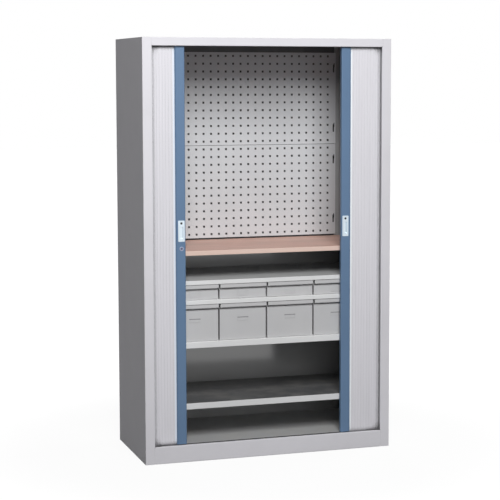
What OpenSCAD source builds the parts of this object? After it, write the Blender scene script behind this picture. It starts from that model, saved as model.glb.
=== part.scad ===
// Workshop cabinet with two tambour doors that slide round the front corners into pockets beside the
// sides. Inside hang two perforated tool panels over a wooden worktop, a rack of sheet steel bins and a
// shelf. Millimetres, origin at the centre of the footprint on the floor, front towards -Y, +Z up.
// Left and right are as seen from the front.

/* [Cabinet] */
// Overall width
cabinet_w = 1200; // [1180:5:1400]
// Overall depth
cabinet_d = 550; // [540:5:650]
// Overall height
cabinet_h = 1950; // [1945:5:2200]
// Thickness of the casing sheet
casing_t = 1.5; // [1:0.1:2]
// Inside radius of every bend in the sheet
bend_r = 1.5; // [0.8:0.1:3]

/* [Front frame] */
// Width of the upright members beside the doors
stile_w = 45; // [40:1:55]
// Height of the member over the doors
top_rail_h = 38; // [34:1:60]
// Height of the floor over the ground
plinth_h = 80; // [70:1:120]
// Depth of the edges folded back round the door opening
frame_return = 17; // [14:0.5:17.5]
// Width of the folded edges that hold the back panel
rear_flange = 25; // [18:1:35]

/* [Tambour doors] */
// Depth of the curtain's middle behind the front face
curtain_setback = 25; // [25:0.5:27]
// Thickness of a slat
slat_t = 7; // [6.6:0.1:7.6]
// Distance from one slat's hinge to the next
slat_pitch = 14; // [13.6:0.1:14.4]
// Radius that the middle of the curtain turns on at the corner
corner_r = 40; // [38:1:46]
// Distance from the curtain's middle to the side panel's outer face
pocket_side = 17; // [15:0.5:18]
// Length of the end slat along the track
tail_l = 20; // [16:1:24]
// Room kept behind the left end slat, whose door stands fully open
tail_room = 45.4; // [44:0.1:60]
// How far the right door is drawn out from where it stands fully open
right_drawn = 42; // [20:1:60]

/* [Lead posts] */
// Width of a lead post
post_w = 47; // [44:1:50]
// Depth of a lead post
post_d = 20; // [19:0.5:21]
// Wall of a lead post
post_wall = 1.8; // [1.4:0.1:2.4]
// Radius of a post's front corners
post_r = 5; // [3:0.5:5]
// How far a post stands in front of the curtain's middle
post_front = 8; // [7.5:0.1:8.5]
// Gap left between a post's end and the frame
post_gap = 2; // [1:0.1:3]

/* [Tracks] */
// Clear width between the walls of a track
track_clear = 9; // [8.8:0.1:9.6]
// Wall of a track
track_wall = 1.5; // [1:0.1:1.6]
// Depth of the bottom track under the floor
track_h = 14; // [12:1:18]
// How far a slat stands inside the top track
track_grip = 10; // [8:1:14]

/* [Pulls and lock] */
// Width of a flush pull
pull_w = 30; // [28:1:32]
// Height of a flush pull
pull_h = 97; // [85:1:110]
// Height of the pulls' middle over the ground
pull_z = 1072; // [1060:1:1100]
// Thickness of the pull's flange
pull_t = 1.5; // [1:0.1:2]
// Depth of the pull's finger cup
cup_d = 9; // [7:0.5:11]
// Height of the lock over the ground
lock_z = 991; // [980:1:1000]
// Diameter of the lock's core
core_d = 11; // [10:0.5:12]
// Radial play of the core in its barrel
core_play = 0.08; // [0.05:0.01:0.1]
// Length of the lock's bolt from its axis
bolt_l = 31; // [29:0.5:33]

/* [Perforated panels] */
// Side of a square hole
hole = 10; // [8:0.5:12]
// Distance from hole to hole
hole_pitch = 38; // [34:1:40]
// Plain edge outside the hole grid at each side
panel_edge = 23; // [20:1:26]
// Least gap between a panel and the pocket lining beside it
panel_side_gap = 30; // [24:1:36]
// Least height kept free over the panels
panel_headroom = 45; // [36:1:54]
// Thickness of a panel's sheet
panel_t = 1.5; // [1:0.1:2]
// Depth of a panel with its folded edges
panel_d = 16.5; // [14:0.5:18]
// Length of a panel's hanging slots
slot_l = 40; // [32:1:44]
// Width of a panel's hanging slots
slot_w = 8; // [7:0.5:9]

/* [Worktop] */
// Height of the worktop's surface over the ground
worktop_z = 974; // [950:1:990]
// Thickness of the worktop
worktop_t = 22; // [18:1:30]
// Distance from the cabinet's front to the worktop's front edge
worktop_setback = 55; // [48:1:80]

/* [Shelves and rack] */
// Distance from the cabinet's front to the shelves' front edges
shelf_setback = 46; // [46:1:60]
// Thickness of the shelves' sheet
shelf_t = 1.2; // [1:0.1:1.5]
// Height of the front edge of the two full shelves
shelf_edge = 30; // [25:1:36]
// Height of the front edge of the rack's middle and top
rack_edge = 21; // [18:1:24]
// Height of the lower shelf's surface over the ground
lower_shelf_z = 265; // [200:1:300]
// Height of the shelf that carries the bins
bin_shelf_z = 551; // [530:1:570]
// Height of the upper bins' floor over the shelf
upper_row_rise = 194; // [180:1:210]
// Height of the rack's top over the upper bins' floor
rack_top_rise = 92; // [86:1:100]
// Distance from the pocket lining to the curtain's middle
lining_gap = 27; // [24:1:32]

/* [Bins] */
// Bins in a row
bin_count = 4; // [4:1:4]
// Distance from one bin to the next
bin_pitch = 232; // [220:1:236]
// Gap between neighbouring bins
bin_gap = 8; // [6:1:12]
// Depth of a bin from its face to its back
bin_d = 400; // [320:5:420]
// Thickness of a bin's sheet
bin_t = 1.2; // [0.8:0.1:1.5]
// Gap between a bin's lip and the edge over it
bin_top_gap = 1; // [0.8:0.1:4]
// How far a bin's face stands behind its pull lip
lip_out = 14; // [10:1:16]
// Height of the pull lip
lip_h = 18; // [14:1:22]
// Height of the finger groove under the lip
groove_h = 7; // [6:0.5:9]
// Depth of the finger groove
groove_d = 9; // [7:0.5:12]
// Width of a label holder
label_w = 54; // [44:1:60]
// Height of a label holder
label_h = 28; // [20:1:30]
// Clearance of what slides or drops in
fit = 0.3; // [0.2:0.05:0.5]

/* [Hidden] */
$fn = 48;

light_grey = [0.86, 0.86, 0.88];
mid_grey = [0.70, 0.70, 0.72];
post_blue = [0.36, 0.47, 0.64];
curtain_grey = [0.88, 0.87, 0.90];
beech = [0.78, 0.60, 0.52];
steel = [0.80, 0.82, 0.85];
black = [0.08, 0.08, 0.08];

front_y = -cabinet_d / 2;
back_y = cabinet_d / 2;
side_x = cabinet_w / 2;
touch = 0.25;

// Lines that the casing is bent on, each in the middle of the sheet
half_t = casing_t / 2;
face_y = front_y + half_t;
return_y = front_y + frame_return;
stile_x = side_x - stile_w + half_t;
roof_z = cabinet_h - half_t;
back_sheet_y = back_y - 2 * casing_t;
inside_x = side_x - casing_t - touch;
inside_y = back_sheet_y - touch;
tray_z = plinth_h - track_h;
rail_x = side_x - stile_w - touch;
tray_front_y = return_y + touch;
tray_edge = 30;
foot_lip = 14;

// Where the flat of an upright's face ends at its bend, and the heights that its bend runs between:
// above and below them the rails' faces reach over to meet the uprights'
corner_x = side_x - stile_w + casing_t + bend_r;
corner_low = plinth_h - casing_t - bend_r;
corner_high = cabinet_h - top_rail_h + casing_t + bend_r;

// The path of the curtain's middle: along the front, round the corner, and back along the side
curtain_y = front_y + curtain_setback;
curtain_x = side_x - pocket_side;
turn_x = curtain_x - corner_r;
turn_y = curtain_y + corner_r;
track_half = track_clear / 2 + track_wall;
track_inner_x = curtain_x - track_half;
curtain_bottom = tray_z + track_wall + fit;
curtain_top = cabinet_h - top_rail_h + track_grip + 2;
track_top_z = cabinet_h - top_rail_h + 2;
track_ceiling = cabinet_h - casing_t;

// The slats' hinges lie a little behind the curtain's middle
hinge_back = 0.9;
hinge_r = corner_r - hinge_back;
bulb_r = 1.35;
socket_r = 1.65;
socket_wall = 0.8;
slat_gap = 0.25;
crown_r = 45;
turn_len = hinge_r * PI / 2;

// A hinge's place by its distance along the path from where the corner starts, and its heading
function turned(s) = s / hinge_r * 180 / PI;
function path_at(s) =
    s < 0 ? [turn_x + s, turn_y - hinge_r]
    : s < turn_len ? [turn_x, turn_y] + hinge_r * [sin(turned(s)), -cos(turned(s))]
    : [turn_x + hinge_r, turn_y + s - turn_len];
function heading(a, b) = atan2(b[1] - a[1], b[0] - a[0]);
function hinge_s(open, i) = open + post_w - turn_x + i * slat_pitch;

// Slats enough to close the front with the end slat still on the straight run beside the side panel,
// and posts that stand as far apart as the pockets' depth then allows, to the whole millimetre
slat_count = ceil((turn_x + turn_len - post_w) / slat_pitch) + 1;
open_run = back_sheet_y - tail_room - tail_l - turn_y + turn_len + turn_x;
left_open = floor(open_run - post_w - slat_count * slat_pitch);
right_open = left_open - right_drawn;
front_slats = floor((turn_x - left_open - post_w) / slat_pitch);
side_slats = slat_count - front_slats;
function tail_y(open) = path_at(hinge_s(open, front_slats + side_slats))[1];
track_end_y = tail_y(left_open) + tail_l + fit + 12;

// The lead posts
post_front_y = curtain_y - post_front;
post_back_y = post_front_y + post_d;
post_body_w = post_w - 3.2;
post_bottom = plinth_h + post_gap;
post_top = cabinet_h - top_rail_h - post_gap;
cup_w = pull_w - 10;
cup_h = pull_h * 0.58;
cup_drop = 8;
screw_d = 11;
screw_drop = 13;
lock_x = 20;
barrel_d = core_d + 5;
bolt_y = post_back_y - post_wall - 5;
bolt_t = 2.4;
bolt_w = 10;
bolt_slot_low = 28;
bolt_slot_high = 8;
bolt_bite = 3;
strike_t = 1.5;

// Everything inside the pocket linings
lining_x = curtain_x - lining_gap;
clear_x = lining_x - half_t - touch;
lining_front_y = curtain_y + track_half + 4;
lining_back_y = inside_y - 9;
shelf_front_y = front_y + shelf_setback;
shelf_back_y = lining_back_y - 4;
panel_low_z = worktop_z + 8;
hole_cols = floor(2 * (lining_x - half_t - panel_edge - panel_side_gap) / hole_pitch);
hole_rows = floor((track_ceiling - panel_low_z - panel_headroom) / (2 * hole_pitch));
panel_w = hole_cols * hole_pitch + 2 * panel_edge;
panel_h = hole_rows * hole_pitch - 2;
panel_front_y = back_sheet_y - touch - panel_d;
panel_rise = hole_rows * hole_pitch;
slot_x = panel_w / 2 - 11;
slot_from_edge = 58;
hook_t = 3;
bearer_h = 34;
bearer_w = 38;

// Rows of slots in the linings and the clips that hook into them
clip_ys = [lining_front_y + 42, lining_back_y - 58];
clip_slot_w = 4;
clip_slot_h = 14;
clip_pitch = 19;
clip_rows = floor((cabinet_h - 300) / clip_pitch);
clip_t = clip_slot_w - 1;
function clip_row_z(i) = 150 + i * clip_pitch;
function clip_row_under(z) = clip_row_z(floor((z - 22 - 150) / clip_pitch));

// The rack and its bins
upper_row_z = bin_shelf_z + upper_row_rise;
rack_top_z = upper_row_z + rack_top_rise;
rack_half_w = bin_count * bin_pitch / 2 + 2;
bin_w = bin_pitch - bin_gap;
bin_face_y = shelf_front_y + lip_out;
upper_bin_h = rack_top_rise - rack_edge - fit - bin_top_gap;
lower_bin_h = upper_row_rise - rack_edge - fit - bin_top_gap;
label_t = 1.6;

// A sheet bent along a line of points, drawn as its section
module folded(points, t) {
    mid_r = bend_r + t / 2;
    last = len(points) - 1;
    function dir(i) = (points[i + 1] - points[i]) / norm(points[i + 1] - points[i]);
    function turn(i) = dir(i - 1)[0] * dir(i)[1] - dir(i - 1)[1] * dir(i)[0];
    function cut(i) = i == 0 || i == last ? 0 : mid_r * tan(asin(min(1, abs(turn(i)))) / 2);
    union() {
        for (i = [0:last - 1]) {
            a = points[i] + dir(i) * cut(i);
            b = points[i + 1] - dir(i) * cut(i + 1);
            n = [-dir(i)[1], dir(i)[0]] * t / 2;
            polygon([a + n, a - n, b - n, b + n]);
        }
        for (i = [1:last - 1]) {
            s = sign(turn(i));
            a = points[i] - dir(i - 1) * cut(i);
            n = [-dir(i - 1)[1], dir(i - 1)[0]] * s;
            m = [-dir(i)[1], dir(i)[0]] * s;
            translate(a + n * mid_r)
            intersection() {
                difference() {
                    circle(mid_r + t / 2);
                    circle(mid_r - t / 2);
                }
                polygon([[0, 0], -2 * mid_r * n, -2 * mid_r * (n + m), -2 * mid_r * m]);
            }
        }
    }
}

// A section in the plane of Y and Z, drawn out along X
module along_x(w) {
    rotate([90, 0, 90])
    linear_extrude(height = w, center = true)
    children();
}

// A shape in the plane of X and Z, with its front at y
module upright(y, t) {
    translate([0, y + t, 0])
    rotate([90, 0, 0])
    linear_extrude(height = t)
    children();
}

module between(z0, z1) {
    translate([0, 0, z0])
    linear_extrude(height = z1 - z0)
    children();
}

module on_side(side) {
    if (side < 0) mirror([1, 0, 0]) children();
    else children();
}

module round_rect(w, h, r) {
    union() {
        square([w - 2 * r, h], center = true);
        square([w, h - 2 * r], center = true);
        for (x = [-1, 1], y = [-1, 1]) translate([x * (w / 2 - r), y * (h / 2 - r)]) circle(r);
    }
}

// Casing

// A side with its front upright and the rear edge that the back panel lies against
module side_panel(side) {
    color(side < 0 ? mid_grey : light_grey)
    on_side(side)
    difference() {
        between(0, cabinet_h)
        folded([
            [stile_x, return_y],
            [stile_x, face_y],
            [side_x - half_t, face_y],
            [side_x - half_t, back_y - half_t],
            [side_x - rear_flange, back_y - half_t]
        ], casing_t);
        for (z = [[-1, corner_low], [corner_high, cabinet_h + 1]])
            between(z[0], z[1])
            translate([side_x - stile_w - 1, front_y - 1])
            square([corner_x - side_x + stile_w + 1, frame_return + 2]);
    }
}

// The roof, bent down in front into the rail over the doors
module roof_panel() {
    rail_low = cabinet_h - top_rail_h + half_t;
    color(light_grey) union() {
        along_x(2 * (rail_x - half_t))
        folded([
            [return_y - half_t, rail_low + 16],
            [return_y - half_t, rail_low],
            [face_y, rail_low],
            [face_y, roof_z],
            [inside_y - half_t, roof_z],
            [inside_y - half_t, roof_z - 24]
        ], casing_t);
        along_x(2 * (corner_x - touch))
        folded([[face_y, corner_high + touch], [face_y, roof_z], [return_y, roof_z]], casing_t);
        for (side = [-1, 1]) on_side(side) {
            translate([rail_x - casing_t, tray_front_y, track_ceiling])
            cube([inside_x - rail_x + casing_t, inside_y - tray_front_y, casing_t]);
            translate([rail_x + casing_t + 2 * touch, front_y + casing_t + touch, track_ceiling])
            cube([inside_x - rail_x - casing_t - bend_r - 2 * touch, frame_return, casing_t]);
            translate([inside_x - casing_t, front_y + casing_t + bend_r + touch, cabinet_h - 24])
            cube([casing_t, inside_y - front_y - casing_t - bend_r - touch, 24]);
        }
    }
}

// The back, which lies between the bends of the side panels' rear edges
module back_panel() {
    color(mid_grey)
    translate([bend_r - inside_x, back_sheet_y, 1])
    cube([2 * (inside_x - bend_r), casing_t, cabinet_h - casing_t - 2]);
}

// The floor of the casing, which the tracks lie on, with edges bent down to the ground behind
module base_tray() {
    color(mid_grey) union() {
        along_x(2 * inside_x)
        folded([
            [tray_front_y + half_t, tray_z - tray_edge],
            [tray_front_y + half_t, tray_z - half_t],
            [inside_y - half_t, tray_z - half_t],
            [inside_y - half_t, half_t],
            [inside_y - tray_edge, half_t]
        ], casing_t);
        for (side = [-1, 1]) on_side(side)
        translate([inside_x - casing_t, tray_front_y + casing_t + bend_r, tray_z - tray_edge])
        cube([casing_t, inside_y - tray_front_y - 2 * (casing_t + bend_r), tray_edge - half_t]);
    }
}

module plinth_rail() {
    color(light_grey) union() {
        along_x(2 * rail_x)
        folded([
            [return_y - half_t, tray_z - tray_edge],
            [return_y - half_t, plinth_h - half_t],
            [face_y, plinth_h - half_t],
            [face_y, half_t],
            [front_y + 2 * frame_return, half_t],
            [front_y + 2 * frame_return, foot_lip]
        ], casing_t);
        translate([touch - corner_x, front_y, casing_t + bend_r])
        cube([2 * (corner_x - touch), casing_t, corner_low - casing_t - bend_r - touch]);
    }
}

// The outline that the tracks leave free, less an inset
module floor_outline(inset) {
    r = corner_r - track_half - touch - inset;
    x = track_inner_x - touch - inset;
    y = turn_y - r;
    union() {
        translate([-x + r, y]) square([2 * (x - r), inside_y - casing_t - inset - y - touch]);
        translate([-x, turn_y]) square([2 * x, inside_y - casing_t - inset - turn_y - touch]);
        for (side = [-1, 1]) translate([side * (x - r), turn_y]) circle(r);
    }
}

// The cabinet's floor, a tray that stands on its edges between the tracks
module floor_panel() {
    color(light_grey) union() {
        between(plinth_h - casing_t, plinth_h) floor_outline(0);
        between(tray_z, plinth_h)
        difference() {
            floor_outline(0);
            floor_outline(casing_t);
        }
    }
}

// The inner wall of a door pocket, with rows of slots for the shelf clips
module pocket_lining(side) {
    color(mid_grey)
    on_side(side)
    difference() {
        between(plinth_h, track_ceiling - touch)
        folded([
            [lining_x - 14, lining_front_y],
            [lining_x, lining_front_y],
            [lining_x, lining_back_y],
            [lining_x - 18, lining_back_y]
        ], casing_t);
        for (y = clip_ys, i = [0:clip_rows - 1])
            translate([lining_x - 5, y - clip_slot_w / 2, clip_row_z(i)])
            cube([10, clip_slot_w, clip_slot_h]);
    }
}

// Tracks

// The band between two distances from the curtain's middle, outwards positive
module track_band(a, b, end_y) {
    union() {
        translate([0.5, curtain_y - b]) square([turn_x - 0.5, b - a]);
        intersection() {
            translate([turn_x, turn_y]) difference() {
                circle(corner_r + b);
                circle(corner_r + a);
            }
            translate([turn_x, turn_y - 2 * corner_r]) square(2 * corner_r);
        }
        translate([curtain_x + a, turn_y]) square([b - a, end_y - turn_y]);
    }
}

module track(side, z0, z1, base_z) {
    color(steel)
    on_side(side)
    union() {
        between(base_z, base_z + track_wall) track_band(-track_half, track_half, track_end_y);
        between(z0, z1) track_band(-track_half, -track_clear / 2, track_end_y);
        between(z0, z1) track_band(track_clear / 2, track_half, track_end_y);
    }
}

module track_top(side) track(side, track_top_z, track_ceiling, track_ceiling - track_wall);

module track_bottom(side) track(side, tray_z, plinth_h, tray_z);

// Rubber blocks that stop the curtains at the back of the tracks
module track_buffers() {
    color(black)
    for (side = [-1, 1], z = [curtain_bottom, curtain_top - 12]) on_side(side)
        translate([curtain_x - track_clear / 2 + 0.1, track_end_y - 12, z])
        cube([track_clear - 0.2, 12, 12]);
}

// Perforated panels, worktop and shelves

module panel_face() {
    difference() {
        translate([-panel_w / 2, 0]) square([panel_w, panel_h]);
        translate([0, panel_h / 2])
        for (i = [0:hole_cols - 1], j = [0:hole_rows - 1])
            translate([i - (hole_cols - 1) / 2, j - (hole_rows - 1) / 2] * hole_pitch)
            square(hole, center = true);
        for (x = [-slot_x, slot_x], z = [slot_from_edge, panel_h - slot_from_edge - slot_l])
            translate([x, z + slot_l / 2]) round_rect(slot_w, slot_l, slot_w / 2 - 0.01);
    }
}

// A panel with its edges folded back against the back panel
module perforated_panel(z) {
    color(light_grey)
    translate([0, 0, z])
    union() {
        upright(panel_front_y, panel_t) panel_face();
        upright(panel_front_y, panel_d)
        difference() {
            translate([-panel_w / 2, 0]) square([panel_w, panel_h]);
            translate([-panel_w / 2 + panel_t, panel_t])
            square([panel_w - 2 * panel_t, panel_h - 2 * panel_t]);
        }
    }
}

// Hooks on the back panel that the hanging slots drop over
module panel_hooks() {
    color(black)
    for (x = [-slot_x, slot_x], row = [0, 1], z = [slot_from_edge, panel_h - slot_from_edge - slot_l])
        translate([x - hook_t / 2, 0, panel_low_z + row * panel_rise + z]) {
            low = slot_l - 14;
            rotate([90, 0, 90])
            linear_extrude(height = hook_t)
            polygon([
                [back_sheet_y - touch, low - 10],
                [back_sheet_y - touch, low + 12],
                [panel_front_y + panel_t + fit, low + 12],
                [panel_front_y + panel_t + fit, slot_l - fit],
                [panel_front_y - 4, slot_l - fit],
                [panel_front_y - 5, slot_l + 6],
                [panel_front_y - 8, slot_l + 6],
                [panel_front_y - 8, low + 2],
                [panel_front_y - 6, low],
                [panel_front_y + panel_t + 2, low]
            ]);
        }
}

module worktop() {
    depth = panel_front_y + panel_d - front_y - worktop_setback - 12;
    color(beech)
    translate([0, front_y + worktop_setback + depth / 2, 0])
    along_x(2 * clear_x)
    translate([0, worktop_z - worktop_t / 2])
    round_rect(depth, worktop_t, 2);
}

module worktop_bearers() {
    color(mid_grey)
    for (side = [-1, 1]) on_side(side)
        translate([0, shelf_back_y - 10, 0])
        rotate([90, 0, 0])
        linear_extrude(height = shelf_back_y - 30 - shelf_front_y)
        folded([
            [clear_x - half_t, worktop_z - worktop_t - bearer_h],
            [clear_x - half_t, worktop_z - worktop_t - half_t],
            [clear_x - bearer_w, worktop_z - worktop_t - half_t]
        ], casing_t);
}

// A shelf folded down all round and back under itself at the front
module shelf(half_w, z, edge, back) {
    h = shelf_t / 2;
    color(light_grey) union() {
        along_x(2 * half_w)
        folded([
            [shelf_front_y + 16, z - edge + 9],
            [shelf_front_y + 16, z - edge + h],
            [shelf_front_y + h, z - edge + h],
            [shelf_front_y + h, z - h],
            [back - h, z - h],
            [back - h, z - edge + h],
            [back - 14, z - edge + h]
        ], shelf_t);
        for (side = [-1, 1]) on_side(side)
        translate([half_w - shelf_t, shelf_front_y + 18, z - edge])
        cube([shelf_t, back - 18 - shelf_front_y - 18, edge - h]);
    }
}

module lower_shelf() shelf(clear_x, lower_shelf_z, shelf_edge, shelf_back_y);

module bin_shelf() shelf(clear_x, bin_shelf_z, shelf_edge, shelf_back_y);

module rack_middle() shelf(rack_half_w, upper_row_z, rack_edge, shelf_back_y);

module rack_top() shelf(clear_x, rack_top_z, rack_edge, shelf_back_y);

// The upright sides of the rack, bent out to close the space beside the bins
module rack_cheeks() {
    color(light_grey)
    for (side = [-1, 1]) on_side(side)
        between(bin_shelf_z, rack_top_z - rack_edge)
        folded([
            [clear_x - 1, shelf_front_y + 1],
            [rack_half_w + touch + shelf_t / 2, shelf_front_y + 1],
            [rack_half_w + touch + shelf_t / 2, shelf_back_y],
            [rack_half_w + 20, shelf_back_y]
        ], shelf_t);
}

// Clips hooked into the linings under the shelves' edges
module shelf_clips() {
    color(steel)
    for (side = [-1, 1], y = clip_ys)
        for (z = [lower_shelf_z - shelf_edge, bin_shelf_z - shelf_edge, rack_top_z - rack_edge])
            on_side(side)
            shelf_clip(y, z, clip_row_under(z));
}

// One clip: an angle under the shelf, with a hook through the lining's slot
module shelf_clip(y, z, row_z) {
    outer_x = lining_x + half_t;
    translate([0, y + 12, 0])
    rotate([90, 0, 0])
    linear_extrude(height = 24)
    folded([
        [clear_x - half_t, row_z - 4],
        [clear_x - half_t, z - half_t],
        [clear_x - 16, z - half_t]
    ], casing_t);
    translate([0, y + clip_t / 2, 0])
    rotate([90, 0, 0])
    linear_extrude(height = clip_t)
    polygon([
        [clear_x - 0.5, row_z + fit],
        [outer_x + fit, row_z + fit],
        [outer_x + fit, row_z - 4],
        [outer_x + fit + 3, row_z - 3],
        [outer_x + fit + 3, row_z + 6],
        [outer_x + fit, row_z + 9],
        [clear_x - 0.5, row_z + 9]
    ]);
}

// Bins

// One bin: floor, back, face, finger groove and pull lip bent from one sheet, between two sides
module bin(i, z, h) {
    x = (i - (bin_count + 1) / 2) * bin_pitch;
    half = bin_t / 2;
    back = bin_face_y + bin_d;
    groove_z = h - lip_h - groove_h;
    side_h = h * 0.82;
    color(mid_grey)
    translate([x, 0, z + fit])
    union() {
        along_x(bin_w)
        folded([
            [back - half - 8, side_h],
            [back - half, side_h],
            [back - half, half],
            [bin_face_y + half, half],
            [bin_face_y + half, groove_z],
            [bin_face_y + groove_d, groove_z],
            [bin_face_y + groove_d, groove_z + groove_h]
        ], bin_t);
        along_x(bin_w)
        polygon([
            [bin_face_y + groove_d - half, groove_z + groove_h],
            [bin_face_y + groove_d + half, groove_z + groove_h],
            [bin_face_y + groove_d + half, groove_z + groove_h + bin_t],
            [shelf_front_y + 3, groove_z + groove_h + bin_t],
            [shelf_front_y + bin_t, groove_z + groove_h + 3],
            [shelf_front_y + bin_t, h],
            [shelf_front_y, h],
            [shelf_front_y, groove_z + groove_h + 2.5],
            [shelf_front_y + 2.5, groove_z + groove_h]
        ]);
        for (side = [-1, 1]) {
            translate([side * (bin_w / 2 - half) - half, 0, 0])
            rotate([90, 0, 90])
            linear_extrude(height = bin_t)
            difference() {
                union() {
                    translate([bin_face_y + half, half]) square([bin_d - bin_t, groove_z - half]);
                    translate([bin_face_y + groove_d, half])
                    square([bin_d - groove_d - half, side_h - half]);
                    translate([bin_face_y + groove_d, half])
                    square([60, h - 6]);
                }
                translate([bin_face_y + groove_d + 60, side_h + 30]) circle(30);
            }
            translate([side * (bin_w / 2 - bin_t - 2) - 2.2, bin_face_y + groove_d + 70, side_h - bin_t])
            cube([4.4, bin_d - groove_d - 80, bin_t]);
        }
    }
}

// A folded frame that holds a paper label, open at its top
module label_holder(i, z, h, rise) {
    x = (i - (bin_count + 1) / 2) * bin_pitch;
    low = z + fit + (h - lip_h - groove_h) * rise - label_h / 2;
    y = bin_face_y - label_t;
    color(mid_grey)
    translate([x, 0, low])
    union() {
        upright(y + label_t - 0.5, 0.5)
        translate([-label_w / 2, 0]) square([label_w, label_h]);
        upright(y, 0.5)
        difference() {
            translate([-label_w / 2, 0]) square([label_w, label_h]);
            translate([-label_w / 2 + 4, 4]) square([label_w - 8, label_h]);
        }
        upright(y, label_t)
        difference() {
            translate([-label_w / 2, 0]) square([label_w, label_h]);
            translate([-label_w / 2 + 0.5, 0.5]) square([label_w - 1, label_h]);
        }
    }
}

module bin_upper(i) bin(i, upper_row_z, upper_bin_h);

module bin_lower(i) bin(i, bin_shelf_z, lower_bin_h);

module label_upper(i) label_holder(i, upper_row_z, upper_bin_h, 0.58);

module label_lower(i) label_holder(i, bin_shelf_z, lower_bin_h, 0.7);

module labels_outer_bins() {
    for (i = [1, bin_count]) {
        label_upper(i);
        label_lower(i);
    }
}

// Tambour doors

// A slat's section, from its socket at the origin to its bulb one pitch along, front towards -Y
module slat_section(l, bulb) {
    front = -slat_t / 2 - hinge_back;
    back = slat_t / 2 - hinge_back;
    end = bulb ? l - 2.9 : l - slat_gap;
    difference() {
        union() {
            intersection() {
                translate([l / 2, front + crown_r]) circle(crown_r);
                translate([slat_gap, front]) square([l - 2 * slat_gap, 1.6]);
            }
            translate([1.9, front + 1]) square([end - 1.9, back - front - 1]);
            difference() {
                circle(socket_r + socket_wall);
                circle(socket_r);
                polygon([[0, 0], [-4, -4], [-4, 4]]);
            }
            if (bulb) {
                translate([end - 0.5, -0.45]) square([l - end, 0.9]);
                translate([l, 0]) circle(bulb_r);
            }
        }
        translate([3.3, front + 1.4]) square([end - 4.6, back - front - 2.7]);
    }
}

module slat(a, b, l, bulb) {
    translate([a[0], a[1], curtain_bottom])
    rotate([0, 0, heading(a, b)])
    linear_extrude(height = curtain_top - curtain_bottom)
    slat_section(l, bulb);
}

// Slats from one hinge to another, set along the path
module slats(side, open, first, count) {
    color(curtain_grey)
    on_side(side)
    for (i = [first:first + count - 1])
        slat(path_at(hinge_s(open, i)), path_at(hinge_s(open, i + 1)), slat_pitch, true);
}

module tail_slat(side, open) {
    s = hinge_s(open, front_slats + side_slats);
    color(curtain_grey)
    on_side(side)
    slat(path_at(s), path_at(s + tail_l), tail_l, false);
}

// A lead post's outline less an inset, with its front corners rounder than the back ones
module post_outline(open, inset) {
    w = post_body_w - 2 * inset;
    d = post_d - 2 * inset;
    translate([open + post_body_w / 2, post_front_y + post_d / 2])
    union() {
        round_rect(w, d, post_r - inset);
        translate([0, d / 4]) round_rect(w, d / 2, max(2 - inset, 0.2));
    }
}

// The section of a lead post: a hollow bar with a cover lip and the bulb of the first hinge
module post_section(open) {
    difference() {
        union() {
            post_outline(open, 0);
            translate([open + post_body_w - 1.5, curtain_y - slat_t / 2])
            square([post_w - post_body_w + 1.5 - slat_gap, 1.5]);
            translate([open + post_body_w - 1, curtain_y + hinge_back - 0.45])
            square([post_w - post_body_w + 1, 0.9]);
            translate([open + post_w, curtain_y + hinge_back]) circle(bulb_r);
        }
        post_outline(open, post_wall);
    }
}

function pull_x(open) = open + post_body_w / 2 - 1.5;

module lead_post(side, open) {
    color(post_blue)
    on_side(side)
    difference() {
        between(post_bottom, post_top) post_section(open);
        translate([pull_x(open), post_front_y + post_wall + 1, pull_z - cup_drop])
        rotate([90, 0, 0])
        linear_extrude(height = post_wall + 2)
        round_rect(cup_w + 2 * fit, cup_h + 2 * fit, 5);
        translate([pull_x(open), post_front_y - 1, pull_z + pull_h / 2 - screw_drop])
        rotate([-90, 0, 0])
        cylinder(d = 3.4, h = post_wall + 2);
        translate([open - 1, bolt_y - bolt_t / 2 - 0.6, lock_z - bolt_slot_low])
        cube([post_wall + 2, bolt_t + 1.2, bolt_slot_low + bolt_slot_high]);
        if (side < 0)
            translate([open + lock_x, post_front_y - 1, lock_z])
            rotate([-90, 0, 0])
            cylinder(d = barrel_d + 2 * fit, h = post_wall + 2);
    }
}

// Plastic ends of a post, with the tongues that run in the tracks
module post_glides(side, open) {
    color(black)
    on_side(side)
    for (end = [0, 1]) {
        seat = end == 0 ? post_bottom : post_top;
        tip = end == 0 ? curtain_bottom : curtain_top;
        inner = end == 0 ? seat + 14 : seat - 14;
        between(min(seat, inner), max(seat, inner)) post_outline(open, post_wall + fit);
        between(end == 0 ? seat - 1.2 : seat, end == 0 ? seat : seat + 1.2) post_outline(open, 0.3);
        between(min(seat, tip), max(seat, tip))
        translate([open + post_body_w / 2, curtain_y]) round_rect(post_body_w - 8, slat_t, 2);
    }
}

// A flush pull: a flange on the post's face round a finger cup
module pull(side, open) {
    color(steel)
    on_side(side)
    translate([pull_x(open), 0, 0])
    difference() {
        union() {
            translate([0, post_front_y, pull_z])
            rotate([90, 0, 0])
            linear_extrude(height = pull_t)
            round_rect(pull_w, pull_h, 3);
            translate([0, post_front_y + cup_d, pull_z - cup_drop])
            rotate([90, 0, 0])
            linear_extrude(height = cup_d)
            round_rect(cup_w, cup_h, 5);
        }
        translate([0, post_front_y + cup_d - 1, pull_z - cup_drop])
        rotate([90, 0, 0])
        linear_extrude(height = cup_d + pull_t)
        round_rect(cup_w - 2, cup_h - 2, 4);
        translate([0, post_front_y - pull_t - 1, pull_z + pull_h / 2 - screw_drop])
        rotate([-90, 0, 0])
        cylinder(d = 3.4, h = pull_t + 2);
        translate([0, post_front_y - pull_t - 0.01, pull_z + pull_h / 2 - screw_drop])
        rotate([-90, 0, 0])
        cylinder(d1 = screw_d + 2 * fit, d2 = 3.4, h = 1.2);
    }
}

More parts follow.
